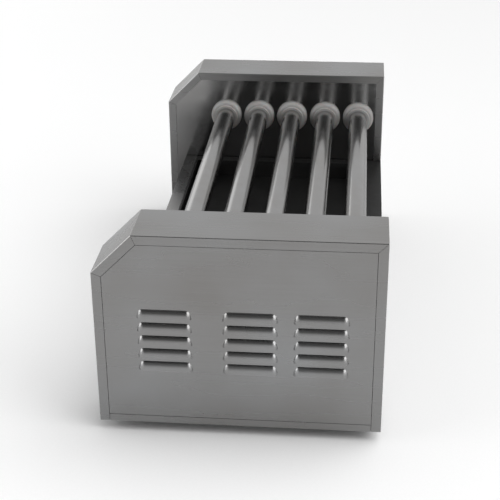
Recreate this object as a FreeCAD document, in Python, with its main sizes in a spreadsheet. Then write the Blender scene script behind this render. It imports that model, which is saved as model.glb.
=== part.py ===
import FreeCAD, Part
import math
import os
import Sketcher

# Electric roller grill: two end housings of folded stainless sheet joined by a low base, five heated
# rollers between them, a chain drive in the right housing and a drip tray that slides out at the front.
# +X runs along the rollers to the right, +Y to the rear, +Z up. The origin is under the middle of the
# grill, on the surface that the feet stand on. All sizes are in millimetres.

Vector = FreeCAD.Vector
TAN_HALF_BEND = math.tan(math.radians(22.5))

SIZES = {
    # end housings and base
    "overall_length": 600,
    "overall_depth": 300,
    "foot_height": 12,
    "housing_height": 220,
    "housing_width": 66,
    "chamfer": 43,
    "sheet": 1,
    "plate": 1.2,
    "bend_radius": 1,
    "rim": 10.2,
    "seam": 0.5,
    "clearance": 0.2,
    "screw_hole": 2.2,
    "mitre_gap": 0.35,
    "rail_height": 8,
    "cover_return": 9,
    "deck_height": 97,
    "ledge_setback": 23,
    "ledge_width": 16,
    "lip": 6,
    "rear_setback": 12,
    # louvres of the side covers
    "louvre_lip": 127,
    "louvre_pitch": 15.3,
    "louvre_length": 57,
    "louvre_rise": 4.2,
    "louvre_height": 10.3,
    "louvre_bend": 3.2,
    "louvre_axis": 2,
    # rollers
    "roller_radius": 12.7,
    "roller_wall": 1.2,
    "roller_pitch": 46,
    "first_roller": 82,
    "roller_height": 160,
    "roller_overhang": 27,
    "running_gap": 0.05,
    "seal_radius": 21.1,
    "seal_depth": 8,
    "seal_collar": 16,
    "seal_neck": 15.5,
    "seal_round": 4.8,
    "collar_depth": 3,
    "collar_round": 0.8,
    "element_radius": 4,
    # chain drive
    "chain_pitch": 9.525,
    "chain_plane": 250,
    "sprocket_width": 5.2,
    "roller_seat": 3.3,
    "tooth_rise": 2.2,
    "hub_radius": 14,
    "shaft_radius": 5,
    "motor_radius": 30,
    "motor_depth": 26,
    "motor_plane": 264,
    "motor_lug": 36,
    # drip tray and controls
    "tray_height": 19,
    "tray_level": 72,
    "tray_half": 222,
    "slot_half": 226,
    "handle_half": 32,
    "handle_reach": 13,
    "handle_bar": 3,
    "control_level": 36,
    "knob_spacing": 120,
    "lamp_spacing": 60,
    "knob_radius": 15,
    "knob_depth": 14,
    "spindle_radius": 3,
    "neck_radius": 5,
    "gland_radius": 8,
    "cable_radius": 4,
    "gland_height": 26,
    "foot_radius": 14,
    "foot_inset_x": 35,
    "foot_inset_y": 40,
}
ROLLERS = 5
SPROCKET_TEETH = 12
CHAIN_LINKS = 58
LOUVRE_ROWS = 5
LOUVRE_COLUMNS = (45.1, 133.8, 207)
SIDES = (-1, 1)
COVER_SCREWS = (-100, 0, 100)
GLAND_X = -190
ROCKER_TILT = 9
TERMINALS = 4

doc = FreeCAD.newDocument("roller_grill")
sheet = doc.addObject("Spreadsheet::Sheet", "sizes")
for row, (alias, number) in enumerate(SIZES.items(), start=1):
    sheet.set(f"A{row}", alias)
    sheet.set(f"B{row}", str(number))
    sheet.setAlias(f"B{row}", alias)
doc.recompute()


class Size:
    """A length held both as a number and as the expression that binds it to the sheet."""

    def __init__(self, value, text):
        self.value = float(value)
        self.text = text

    def __add__(self, other):
        other = as_size(other)
        return Size(self.value + other.value, f"({self.text} + {other.text})")

    def __sub__(self, other):
        other = as_size(other)
        return Size(self.value - other.value, f"({self.text} - {other.text})")

    def __mul__(self, other):
        other = as_size(other)
        return Size(self.value * other.value, f"({self.text} * {other.text})")

    def __truediv__(self, other):
        other = as_size(other)
        return Size(self.value / other.value, f"({self.text} / {other.text})")

    def __neg__(self):
        return Size(-self.value, f"(0 - {self.text})")

    def root(self):
        return Size(math.sqrt(self.value), f"sqrt({self.text})")

    __radd__ = __add__
    __rmul__ = __mul__

    def __rsub__(self, other):
        return as_size(other) - self


def as_size(value):
    return value if isinstance(value, Size) else Size(value, f"({float(value)!r})")


class Sizes:
    """The sheet's cells by name."""

    def __getattr__(self, alias):
        return Size(SIZES[alias], f"sizes.{alias}")


d = Sizes()

# Levels and planes that several pieces share.
front = -d.overall_depth / 2
rear = d.overall_depth / 2
end = d.overall_length / 2
inner = end - d.housing_width
bottom = d.foot_height
top = bottom + d.housing_height
floor_top = bottom + d.plate
deck_top = bottom + d.deck_height
panel_front = front + d.ledge_setback
ledge_rear = panel_front + d.ledge_width
roller_level = bottom + d.roller_height
first_roller = front + d.first_roller
wall_face = inner + d.sheet + 0.1
wall_back = wall_face + d.plate
bay_half = inner - 0.4
rear_panel = rear - d.rear_setback
tray_floor = bottom + d.tray_level
control_level = bottom + d.control_level
half_span = d.roller_pitch * (ROLLERS - 1) / 2
middle_roller = first_roller + half_span
gland_level = bottom + d.gland_height
block_middle = -end + 33
rear_screws = [(side * 222, bottom + height) for side in SIDES for height in (12, 78)]


def roller_place(number):
    return first_roller + d.roller_pitch * number


# ---------------------------------------------------------------- modelling helpers


def bind(thing, prop, length):
    thing.setExpression(prop, as_size(length).text)


def place(thing, at, rotation=None):
    """Put a feature at a point whose three coordinates follow the sheet."""
    values = [as_size(c).value for c in at]
    thing.Placement = FreeCAD.Placement(Vector(*values), rotation or FreeCAD.Rotation())
    for axis, coordinate in zip("xyz", at):
        bind(thing, f"Placement.Base.{axis}", coordinate)
    return thing


def box(name, low, high):
    """A block between two corners."""
    thing = doc.addObject("Part::Box", name)
    for prop, start, stop in zip(("Length", "Width", "Height"), low, high):
        bind(thing, prop, as_size(stop) - start)
    return place(thing, low)


TURNS = {
    "X": FreeCAD.Rotation(Vector(0, 1, 0), 90),
    "Y": FreeCAD.Rotation(Vector(1, 0, 0), -90),
    "Z": FreeCAD.Rotation(),
}


def rod(name, axis, at, length, radius):
    """A cylinder that starts at a point and runs along a positive axis."""
    thing = doc.addObject("Part::Cylinder", name)
    bind(thing, "Radius", radius)
    bind(thing, "Height", length)
    return place(thing, at, TURNS[axis])


def ball(name, at, radius):
    thing = doc.addObject("Part::Sphere", name)
    bind(thing, "Radius", radius)
    return place(thing, at)


def join(name, members):
    thing = doc.addObject("Part::MultiFuse", name)
    thing.Shapes = members
    thing.Refine = True
    return thing


def cut(name, base, tools):
    tool = tools[0] if len(tools) == 1 else join(name + "_tools", tools)
    thing = doc.addObject("Part::Cut", name)
    thing.Base = base
    thing.Tool = tool
    thing.Refine = True
    return thing


def common(name, members):
    thing = doc.addObject("Part::MultiCommon", name)
    thing.Shapes = members
    return thing


def group(name, members):
    """Identical pieces that share one node, each still its own solid."""
    thing = doc.addObject("Part::Compound", name)
    thing.Links = members
    return thing


def mirrored(name, source):
    """The left-hand twin of a right-hand piece."""
    thing = doc.addObject("Part::Mirroring", name)
    thing.Source = source
    thing.Base = Vector(0, 0, 0)
    thing.Normal = Vector(1, 0, 0)
    return thing


def sketch_on(body, name, role, level=0):
    """A sketch on one of the body's origin planes, moved along the plane's normal by level."""
    sketch = body.newObject("Sketcher::SketchObject", name)
    plane = next(f for f in body.Origin.OriginFeatures if f.Role == role)
    sketch.AttachmentSupport = [(plane, "")]
    sketch.MapMode = "FlatFace"
    bind(sketch, "AttachmentOffset.Base.z", level)
    return sketch


def fix_point(sketch, geometry, point, at):
    """Constrain a sketch point to its two distances from the sketch's origin."""
    for kind, distance in zip(("DistanceX", "DistanceY"), at):
        distance = as_size(distance)
        rule = Sketcher.Constraint(kind, -1, 1, geometry, point, distance.value)
        index = sketch.addConstraint(rule)
        sketch.setExpression(f"Constraints[{index}]", distance.text)


def draw_polygon(sketch, corners):
    first = sketch.GeometryCount
    points = [Vector(as_size(x).value, as_size(y).value, 0) for x, y in corners]
    for start, stop in zip(points, points[1:] + points[:1]):
        sketch.addGeometry(Part.LineSegment(start, stop), False)
    count = len(corners)
    for i, corner in enumerate(corners):
        following = first + (i + 1) % count
        sketch.addConstraint(Sketcher.Constraint("Coincident", first + i, 2, following, 1))
        fix_point(sketch, first + i, 1, corner)


def draw_rectangle(sketch, low, high):
    draw_polygon(sketch, [low, (high[0], low[1]), high, (low[0], high[1])])


def draw_circle(sketch, centre, radius):
    radius = as_size(radius)
    middle = Vector(as_size(centre[0]).value, as_size(centre[1]).value, 0)
    index = sketch.addGeometry(Part.Circle(middle, Vector(0, 0, 1), radius.value), False)
    fix_point(sketch, index, 3, centre)
    rule = sketch.addConstraint(Sketcher.Constraint("Radius", index, radius.value))
    sketch.setExpression(f"Constraints[{rule}]", radius.text)


def new_body(name):
    return doc.addObject("PartDesign::Body", name)


def pad(body, sketch, length):
    feature = body.newObject("PartDesign::Pad", sketch.Name + "_pad")
    feature.Profile = sketch
    bind(feature, "Length", length)
    sketch.Visibility = False
    doc.recompute()
    return feature


def pocket(body, sketch, length=None, forwards=True):
    """Cut the sketch out of the body, along its normal when forwards; right through with no length."""
    before = body.Shape.Volume
    feature = body.newObject("PartDesign::Pocket", sketch.Name + "_pocket")
    feature.Profile = sketch
    if length is None:
        feature.Type = "ThroughAll"
        feature.Midplane = True
    else:
        bind(feature, "Length", length)
        feature.Reversed = forwards
    doc.recompute()
    if not body.Shape.Volume < before - 0.01:
        raise ValueError(f"{feature.Name} cut nothing")
    return feature


def line_pattern(body, feature, sketch, axis, spacing, count):
    """Repeat a feature along one of its sketch's axes, spacing apart."""
    before = body.Shape.Volume
    pattern = body.newObject("PartDesign::LinearPattern", feature.Name + "_row")
    pattern.Originals = [feature]
    pattern.Direction = (sketch, [axis])
    bind(pattern, "Length", as_size(spacing) * (count - 1))
    pattern.Occurrences = count
    body.Tip = pattern
    doc.recompute()
    if abs(body.Shape.Volume - before) < 0.01:
        raise ValueError(f"{pattern.Name} changed nothing")
    return pattern


def plate_body(name, role, level, thickness, outline):
    """A flat plate: a body with one padded polygon."""
    body = new_body(name)
    sketch = sketch_on(body, name + "_outline", role, level)
    draw_polygon(sketch, outline)
    pad(body, sketch, thickness)
    return body


nodes = {}


def keep(label, thing):
    """Name a finished sub-part; the label is also its file's name."""
    thing.Label = label
    nodes[label] = thing
    return thing


# ---------------------------------------------------------------- end housings


def housing_outline(inset, base):
    """The end housing's profile in Y and Z, moved inwards by inset and cut off at the level base."""
    inset = as_size(inset)
    corner = inset * TAN_HALF_BEND
    return [
        (front + inset, base),
        (front + inset, top - d.chamfer - corner),
        (front + d.chamfer + corner, top - inset),
        (rear - inset, top - inset),
        (rear - inset, base),
    ]


def bend_corners(inset):
    """The three bends of the profile at that inset."""
    return housing_outline(inset, bottom)[1:4]


def make_band():
    """Sheet folded over the housing's front, chamfer, top and rear, with a rim turned in on each side."""
    body = plate_body("band", "YZ_Plane", inner, d.housing_width, housing_outline(0, bottom))
    block = body.Tip
    outer_edges = []
    for index, edge in enumerate(block.Shape.Edges, start=1):
        if edge.CenterOfMass.z > bottom.value + 0.1 and edge.BoundBox.ZMax > bottom.value + 1:
            outer_edges.append(f"Edge{index}")
    bends = body.newObject("PartDesign::Fillet", "band_bends")
    bends.Base = (block, outer_edges)
    bind(bends, "Radius", d.bend_radius)
    doc.recompute()
    hollow = sketch_on(body, "band_hollow", "YZ_Plane", inner + d.sheet)
    draw_polygon(hollow, housing_outline(d.sheet, bottom - 1))
    pocket(body, hollow, d.housing_width - d.sheet * 2)
    mouth = sketch_on(body, "band_mouth", "YZ_Plane")
    draw_polygon(mouth, housing_outline(d.rim, bottom - 1))
    pocket(body, mouth)
    mitres = sketch_on(body, "band_mitres", "YZ_Plane")
    half = d.mitre_gap / 2
    start_inset = d.bend_radius + 0.1
    across = ((0.3827, 0.9239), (0.9239, 0.3827), (0.7071, -0.7071))
    for outside, inside, (ny, nz) in zip(bend_corners(start_inset), bend_corners(d.rim + 0.3), across):
        side = (half * ny, half * nz)
        draw_polygon(mitres, [
            (outside[0] + side[0], outside[1] + side[1]),
            (inside[0] + side[0], inside[1] + side[1]),
            (inside[0] - side[0], inside[1] - side[1]),
            (outside[0] - side[0], outside[1] - side[1]),
        ])
    pocket(body, mitres)
    return body


def draw_hood(sketch, inset):
    """Half-section of a louvre in front of its turning axis: from the lip up, a wide bend and a tight one."""
    reach = d.louvre_rise + d.sheet
    tight = d.louvre_bend
    tight_level = d.louvre_height - tight
    wide = (reach * reach + tight_level * tight_level - tight * tight) / ((reach - tight) * 2)
    share = wide / (wide - tight)
    wide_x = d.louvre_axis + reach - wide
    tight_x = d.louvre_axis
    shrink = (wide - inset) / wide
    corners = [
        (0, 0),
        (d.louvre_axis + reach - inset, 0),
        (wide_x + (tight_x - wide_x) * share * shrink, tight_level * share * shrink),
        (tight_x, d.louvre_height - inset),
        (0, d.louvre_height - inset),
    ]
    points = [Vector(as_size(x).value, as_size(y).value, 0) for x, y in corners]
    for start, stop, centre, radius in zip(points, points[1:] + points[:1],
                                           (None, (wide_x, 0), (tight_x, tight_level), None, None),
                                           (None, wide - inset, tight - inset, None, None)):
        if centre is None:
            sketch.addGeometry(Part.LineSegment(start, stop), False)
            continue
        middle = Vector(as_size(centre[0]).value, as_size(centre[1]).value, 0)
        outwards = ((start + stop) / 2 - middle).normalize() * radius.value
        arc = sketch.addGeometry(Part.Arc(start, middle + outwards, stop), False)
        rule = sketch.addConstraint(Sketcher.Constraint("Radius", arc, radius.value))
        sketch.setExpression(f"Constraints[{rule}]", radius.text)
    for i, corner in enumerate(corners):
        sketch.addConstraint(Sketcher.Constraint("Coincident", i, 2, (i + 1) % len(corners), 1))
        fix_point(sketch, i, 1, corner)


def make_hood(name, inset, straight):
    """Form of one louvre: the section drawn along the slot and turned round an upright axis at each end."""
    body = new_body(name + "_form")
    last = sketch_on(body, name + "_last", "XZ_Plane", -straight)
    draw_hood(last, inset)
    pad(body, last, straight)
    for end_name, level in (("left", 0), ("right", -straight)):
        section = sketch_on(body, f"{name}_{end_name}", "XZ_Plane", level)
        draw_hood(section, inset)
        turn = body.newObject("PartDesign::Revolution", section.Name + "_turn")
        turn.Profile = section
        turn.ReferenceAxis = (section, ["V_Axis"])
        turn.Angle = 180
        turn.Reversed = end_name == "left"
        doc.recompute()
    span = d.louvre_length
    zone = box(name + "_zone", (d.louvre_axis, -span, 0), (d.louvre_axis + span, span * 2, span))
    return common(name, [body, zone])


def make_louvres(face):
    """Hoods that stand out from the cover's face, and the hollows that open below them."""
    lip_radius = d.louvre_axis + d.louvre_rise + d.sheet
    face_distance = d.louvre_axis + d.sheet
    end_reach = (lip_radius * lip_radius - face_distance * face_distance).root()
    straight = d.louvre_length - end_reach * 2
    rows = []
    for name, inset in (("louvre_hood", 0), ("louvre_hollow", d.sheet)):
        form = make_hood(name, inset, straight)
        rows.append([])
        for row in range(LOUVRE_ROWS):
            for column, start in enumerate(LOUVRE_COLUMNS):
                copy = doc.addObject("App::Link", f"{name}_{column}_{row}")
                copy.LinkedObject = form
                rows[-1].append(place(copy, (face - face_distance, front + start + end_reach,
                                             bottom + d.louvre_lip - d.louvre_pitch * row)))
    return rows


def make_cover():
    """Louvred side cover: a shallow pan set inside the rim, with a foot that is screwed from below."""
    edge_inset = d.rim + d.seam
    face = end - 0.1
    pan_bottom = bottom + d.rail_height + d.seam
    body = plate_body("cover_pan", "YZ_Plane", face - d.cover_return, d.cover_return,
                      housing_outline(edge_inset, pan_bottom))
    hollow = sketch_on(body, "cover_hollow", "YZ_Plane", face - d.cover_return)
    draw_polygon(hollow, housing_outline(edge_inset + d.sheet, pan_bottom + d.sheet))
    pocket(body, hollow, d.cover_return - d.sheet)
    foot_rear = 130
    foot_bottom = floor_top + d.clearance
    apron = box("cover_apron", (face - d.sheet * 2 - d.clearance, -foot_rear, foot_bottom),
                (face - d.sheet - d.clearance, foot_rear, pan_bottom + 0.5))
    foot = box("cover_foot", (end - 16, -foot_rear, foot_bottom),
               (face - d.sheet - d.clearance, foot_rear, foot_bottom + d.sheet))
    raised, opened = make_louvres(face)
    holes = [rod(f"cover_hole_{i}", "Z", (end - 10, y, foot_bottom - 1), 3, d.screw_hole)
             for i, y in enumerate(COVER_SCREWS)]
    whole = join("cover_sheet", [body, apron, foot] + raised)
    return cut("cover", whole, opened + holes)


def make_inner_wall():
    """The polished wall behind the inner rim, with a hole for each roller's seal and one for the wires."""
    body = plate_body("inner_wall", "YZ_Plane", wall_face, d.plate,
                      housing_outline(d.sheet + d.clearance, floor_top + d.clearance))
    hole = sketch_on(body, "wall_hole", "YZ_Plane")
    draw_circle(hole, (first_roller, roller_level), d.seal_neck + 0.1)
    first = pocket(body, hole)
    line_pattern(body, first, hole, "H_Axis", d.roller_pitch, ROLLERS)
    wires = sketch_on(body, "wall_wire_hole", "YZ_Plane")
    draw_circle(wires, (rear - 45, bottom + 40), 8)
    pocket(body, wires)
    return body


def make_base_plate():
    """The housing's floor, whose outer edge turns up as a low rail between the rims."""
    rail_end = rear - d.rim - d.seam
    body = plate_body("base_plate", "XY_Plane", bottom, d.plate, [
        (inner + d.sheet + d.clearance, front + d.sheet + d.clearance),
        (end - d.sheet - d.clearance, front + d.sheet + d.clearance),
        (end - d.sheet - d.clearance, -rail_end),
        (end, -rail_end),
        (end, rail_end),
        (end - d.sheet - d.clearance, rail_end),
        (end - d.sheet - d.clearance, rear - d.sheet - d.clearance),
        (inner + d.sheet + d.clearance, rear - d.sheet - d.clearance),
    ])
    rail = sketch_on(body, "base_rail", "XY_Plane", bottom)
    draw_rectangle(rail, (end - d.sheet, -rail_end), (end, rail_end))
    pad(body, rail, d.rail_height)
    holes = sketch_on(body, "base_holes", "XY_Plane")
    for y in COVER_SCREWS:
        draw_circle(holes, (end - 10, y), d.screw_hole)
    for y in (front + d.foot_inset_y, rear - d.foot_inset_y):
        draw_circle(holes, (end - d.foot_inset_x, y), d.screw_hole)
    pocket(body, holes)
    vent = sketch_on(body, "base_vent", "XY_Plane")
    draw_rectangle(vent, (end - 50, -66), (end - 20, -62))
    first = pocket(body, vent)
    line_pattern(body, first, vent, "V_Axis", 12, 9)
    return body


def round_off(body, radius, edge_radius, edge_x):
    """Fillet the body's round edge of one radius, at one place along X."""
    base = body.Tip
    edges = [f"Edge{i}" for i, edge in enumerate(base.Shape.Edges, start=1)
             if abs(edge.CenterOfMass.x - edge_x.value) < 0.01
             and abs(edge.BoundBox.ZMax - edge_radius.value) < 0.01]
    fillet = body.newObject("PartDesign::Fillet", f"{body.Name}_round")
    fillet.Base = (base, edges)
    bind(fillet, "Radius", radius)
    doc.recompute()


def make_seals():
    """White bushes of one wall: round-shouldered flange and collar in the bay, neck through the wall."""
    bore = d.roller_radius + d.running_gap
    face = wall_face - 0.1
    shoulder = face - d.seal_depth
    collar_face = shoulder - d.collar_depth
    seals = []
    for number in range(ROLLERS):
        body = new_body(f"seal_{number + 1}")
        section = sketch_on(body, body.Name + "_section", "XZ_Plane")
        draw_polygon(section, [
            (collar_face, bore),
            (collar_face, d.seal_collar),
            (shoulder, d.seal_collar),
            (shoulder, d.seal_radius),
            (face, d.seal_radius),
            (face, d.seal_neck),
            (wall_back + 3, d.seal_neck),
            (wall_back + 3, bore),
        ])
        turn = body.newObject("PartDesign::Revolution", body.Name + "_turn")
        turn.Profile = section
        turn.ReferenceAxis = (section, ["H_Axis"])
        turn.Angle = 360
        doc.recompute()
        round_off(body, d.seal_round, d.seal_radius, shoulder)
        round_off(body, d.collar_round, d.seal_collar, collar_face)
        seals.append(place(body, (0, roller_place(number), roller_level)))
    return group("seal_row", seals)


right_band = keep("right_band", make_band())
keep("left_band", mirrored("left_band_twin", right_band))
right_cover = keep("right_cover", make_cover())
keep("left_cover", mirrored("left_cover_twin", right_cover))
right_wall = keep("right_inner_wall", make_inner_wall())
keep("left_inner_wall", mirrored("left_wall_twin", right_wall))
right_floor = keep("right_base_plate", make_base_plate())
keep("left_base_plate", mirrored("left_floor_twin", right_floor))
right_seals = keep("right_roller_seals", make_seals())
keep("left_roller_seals", mirrored("left_seal_twin", right_seals))

# ---------------------------------------------------------------- base between the housings


def make_base_pan():
    """Floor of the base, with turned-up ends and a row of cooling slots."""
    body = plate_body("base_floor", "XY_Plane", bottom, d.plate, [
        (-bay_half, panel_front + d.sheet + d.clearance),
        (bay_half, panel_front + d.sheet + d.clearance),
        (bay_half, rear_panel - d.sheet - d.clearance),
        (-bay_half, rear_panel - d.sheet - d.clearance),
    ])
    ends = sketch_on(body, "base_ends", "XY_Plane", bottom)
    for left in (-bay_half, bay_half - d.sheet):
        draw_rectangle(ends, (left, front + 60), (left + d.sheet, rear - 60))
    pad(body, ends, 18)
    slot = sketch_on(body, "base_slot", "XY_Plane")
    draw_rectangle(slot, (-180, -30), (-175, 30))
    first = pocket(body, slot)
    line_pattern(body, first, slot, "H_Axis", 27.5, 14)
    return body


def make_front_panel():
    """Folded panel: its top flange is the front ledge, its slot lets the drip tray out."""
    body = new_body("front_sheet")
    section = sketch_on(body, "front_section", "YZ_Plane", -bay_half)
    low = floor_top + d.clearance
    draw_polygon(section, [
        (panel_front, bottom),
        (panel_front, deck_top),
        (ledge_rear, deck_top),
        (ledge_rear, deck_top - d.lip),
        (ledge_rear - d.sheet, deck_top - d.lip),
        (ledge_rear - d.sheet, deck_top - d.sheet),
        (panel_front + d.sheet, deck_top - d.sheet),
        (panel_front + d.sheet, low + d.sheet),
        (panel_front + 14, low + d.sheet),
        (panel_front + 14, low),
        (panel_front + d.sheet, low),
        (panel_front + d.sheet, bottom),
    ])
    pad(body, section, bay_half * 2)
    slot = sketch_on(body, "front_slot", "XZ_Plane", -panel_front - d.sheet - 1)
    draw_rectangle(slot, (-d.slot_half, tray_floor - 2), (d.slot_half, tray_floor + d.tray_height + 2.8))
    pocket(body, slot, d.sheet + 2)
    holes = sketch_on(body, "front_holes", "XZ_Plane", -panel_front - d.sheet - 1)
    for side in SIDES:
        for spacing in (d.knob_spacing, d.lamp_spacing):
            draw_circle(holes, (spacing * side, control_level), d.neck_radius + 0.1)
    draw_rectangle(holes, (-14, control_level - 10.5), (14, control_level + 10.5))
    pocket(body, holes, d.sheet + 2)
    return body


def make_deck():
    """Black top plate of the base, open over the drip tray, with lips turned down."""
    body = plate_body("deck_plate", "XY_Plane", deck_top - d.lip, d.lip, [
        (-bay_half, ledge_rear + 0.5),
        (bay_half, ledge_rear + 0.5),
        (bay_half, rear),
        (-bay_half, rear),
    ])
    under = sketch_on(body, "deck_under", "XY_Plane", deck_top - d.lip)
    well_rear = rear - 26
    well_half = d.tray_half - 4
    draw_rectangle(under, (-bay_half + d.sheet, well_rear + d.sheet),
                   (bay_half - d.sheet, rear - d.sheet))
    for side in SIDES:
        near, far = sorted((well_half + d.sheet, bay_half - d.sheet), key=lambda s: s.value * side)
        draw_rectangle(under, (near * side, ledge_rear + 0.5 + d.sheet), (far * side, well_rear - 0.5))
    pocket(body, under, d.lip - d.sheet)
    well = sketch_on(body, "deck_well", "XY_Plane")
    draw_rectangle(well, (-well_half, ledge_rear + 0.5 + d.sheet * 2), (well_half, well_rear))
    pocket(body, well)
    return body


def make_rear_panel():
    """Rear closing panel, set in under the deck, with vent slots and the hole for the cable gland."""
    low = floor_top + d.clearance
    high = deck_top - d.lip - 0.3
    body = plate_body("rear_sheet", "XZ_Plane", -rear_panel, d.sheet, [
        (-bay_half, bottom),
        (bay_half, bottom),
        (bay_half, high),
        (-bay_half, high),
    ])
    flange = sketch_on(body, "rear_flange", "XZ_Plane", d.sheet - rear_panel)
    draw_rectangle(flange, (-bay_half, low), (bay_half, low + d.sheet))
    pad(body, flange, 12)
    holes = sketch_on(body, "rear_holes", "XZ_Plane")
    draw_circle(holes, (GLAND_X, gland_level), d.gland_radius + 0.1)
    for spot in rear_screws:
        draw_circle(holes, spot, 1.5)
    pocket(body, holes)
    slot = sketch_on(body, "rear_slot", "XZ_Plane")
    draw_rectangle(slot, (-120, bottom + 40), (-116, bottom + 76))
    first = pocket(body, slot)
    line_pattern(body, first, slot, "H_Axis", 12, 21)
    return body


def make_tray_rail(name, side):
    """Angle runner fixed to an inner wall, under one edge of the drip tray."""
    near, far = sorted((d.tray_half - 8, bay_half), key=lambda s: s.value * side)
    low = tray_floor - 0.4 - d.sheet
    back = rear_panel - 4
    shelf = box(name + "_shelf", (near * side, panel_front + 2, low), (far * side, back, low + d.sheet))
    near, far = sorted((bay_half - d.sheet, bay_half), key=lambda s: s.value * side)
    web = box(name + "_web", (near * side, panel_front + 2, low), (far * side, back, low + 16))
    return join(name, [shelf, web])


def make_tray():
    """Drip tray: a shallow black pan with a steel front that closes the slot."""
    body = new_body("tray_pan")
    outline = sketch_on(body, "tray_outline", "XY_Plane", tray_floor)
    back = rear_panel - 14
    draw_rectangle(outline, (-d.tray_half, panel_front + d.sheet), (d.tray_half, back))
    pad(body, outline, d.tray_height)
    hollow = sketch_on(body, "tray_hollow", "XY_Plane", tray_floor + d.sheet)
    draw_rectangle(hollow, (d.sheet - d.tray_half, panel_front + d.sheet * 2),
                   (d.tray_half - d.sheet, back - d.sheet))
    pocket(body, hollow, d.tray_height)
    return body


def make_tray_front():
    """Flat front of the drip tray, flush with the panel around it."""
    return plate_body("tray_front_plate", "XZ_Plane", -panel_front - d.sheet, d.sheet, [
        (1 - d.slot_half, tray_floor - 1),
        (d.slot_half - 1, tray_floor - 1),
        (d.slot_half - 1, tray_floor + d.tray_height + 2),
        (1 - d.slot_half, tray_floor + d.tray_height + 2),
    ])


def make_tray_handle():
    """Bow handle of round bar on the tray front."""
    bar_y = panel_front - d.handle_reach
    level = tray_floor + 10
    parts = [rod("handle_bar", "X", (-d.handle_half, bar_y, level), d.handle_half * 2, d.handle_bar)]
    for tag, x in (("left", -d.handle_half), ("right", d.handle_half)):
        parts.append(rod(f"handle_leg_{tag}", "Y", (x, bar_y, level), d.handle_reach, d.handle_bar))
        parts.append(ball(f"handle_bend_{tag}", (x, bar_y, level), d.handle_bar))
        parts.append(rod(f"handle_washer_{tag}", "Y", (x, panel_front - 1, level), 1, d.handle_bar * 2))
    return join("handle", parts)


keep("base_pan", make_base_pan())
keep("front_panel", make_front_panel())
keep("deck", make_deck())
keep("rear_panel", make_rear_panel())
keep("tray_rails", group("rail_pair", [make_tray_rail("left_rail", -1), make_tray_rail("right_rail", 1)]))
keep("drip_tray", make_tray())
keep("tray_front", make_tray_front())
keep("tray_handle", make_tray_handle())

# ---------------------------------------------------------------- rollers and heating elements

PITCH_RADIUS = SIZES["chain_pitch"] / (2 * math.sin(math.pi / SPROCKET_TEETH))
pitch_radius = d.chain_pitch * (PITCH_RADIUS / SIZES["chain_pitch"])
tube_end = inner + d.roller_overhang
run_length = (d.chain_pitch * (CHAIN_LINKS - SPROCKET_TEETH) - d.roller_pitch * (ROLLERS - 1)) / 2
drive_level = roller_level - (run_length * run_length - half_span * half_span).root()


class ChainPath:
    """The chain's closed way over the roller sprockets and under the drive sprocket, in pitches."""

    def __init__(self):
        level = roller_level.value
        left = Vector(0, first_roller.value, level)
        right = Vector(0, roller_place(ROLLERS - 1).value, level)
        drive = Vector(0, middle_roller.value, drive_level.value)
        slope = math.degrees(math.atan2(level - drive.z, right.y - drive.y))
        self.stretches = []
        heading = 0.0
        for start, stop, turn in ((left, right, 180 - slope), (right, drive, 2 * slope),
                                  (drive, left, 180 - slope)):
            run = (stop - start).Length / SIZES["chain_pitch"]
            self.stretches.append(("run", start, heading, run))
            self.stretches.append(("wrap", stop, heading, turn / (360 / SPROCKET_TEETH)))
            heading -= turn

    def point(self, place_on_path):
        """Centre of the pin at that number of pitches along the chain."""
        rest = place_on_path
        for kind, centre, heading, length in self.stretches:
            if rest <= length + 1e-9:
                break
            rest -= length
        if kind == "wrap":
            heading -= rest * 360 / SPROCKET_TEETH
        outwards = math.radians(heading + 90)
        spot = centre + Vector(0, math.cos(outwards), math.sin(outwards)) * PITCH_RADIUS
        if kind == "run":
            ahead = math.radians(heading)
            spot += Vector(0, math.cos(ahead), math.sin(ahead)) * (rest * SIZES["chain_pitch"])
        return spot

    def pins(self):
        return [self.point(step) for step in range(CHAIN_LINKS)]


chain_pins = ChainPath().pins()


def gap_angle(centre_y, centre_z):
    """Direction of the tooth gap that holds the pin nearest to this sprocket, in degrees from +Y to +Z."""
    centre = Vector(chain_pins[0].x, centre_y, centre_z)
    pin = min(chain_pins, key=lambda p: abs((p - centre).Length - PITCH_RADIUS))
    return math.degrees(math.atan2(pin.z - centre_z, pin.y - centre_y))


def make_sprocket(name, at_y, at_z, bore, hub):
    """Twelve-tooth chain sprocket with its hub towards the end of the shaft."""
    half = d.sprocket_width / 2
    body = new_body(name)
    disc = sketch_on(body, name + "_disc", "YZ_Plane", d.chain_plane - half)
    draw_circle(disc, (0, 0), pitch_radius + d.tooth_rise)
    pad(body, disc, d.sprocket_width)
    boss = sketch_on(body, name + "_boss", "YZ_Plane", d.chain_plane - half)
    draw_circle(boss, (0, 0), hub)
    pad(body, boss, d.sprocket_width + 5)
    hole = sketch_on(body, name + "_bore", "YZ_Plane")
    draw_circle(hole, (0, 0), bore)
    pocket(body, hole)
    gap = sketch_on(body, name + "_gap", "YZ_Plane", d.chain_plane - half - 0.1)
    draw_gap(gap)
    first = pocket(body, gap, d.sprocket_width + 0.2)
    teeth = body.newObject("PartDesign::PolarPattern", name + "_teeth")
    teeth.Originals = [first]
    teeth.Axis = (gap, ["N_Axis"])
    teeth.Angle = 360
    teeth.Occurrences = SPROCKET_TEETH
    body.Tip = teeth
    doc.recompute()
    turn = FreeCAD.Rotation(Vector(1, 0, 0), gap_angle(as_size(at_y).value, as_size(at_z).value))
    return place(body, (0, at_y, at_z), turn)


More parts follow.
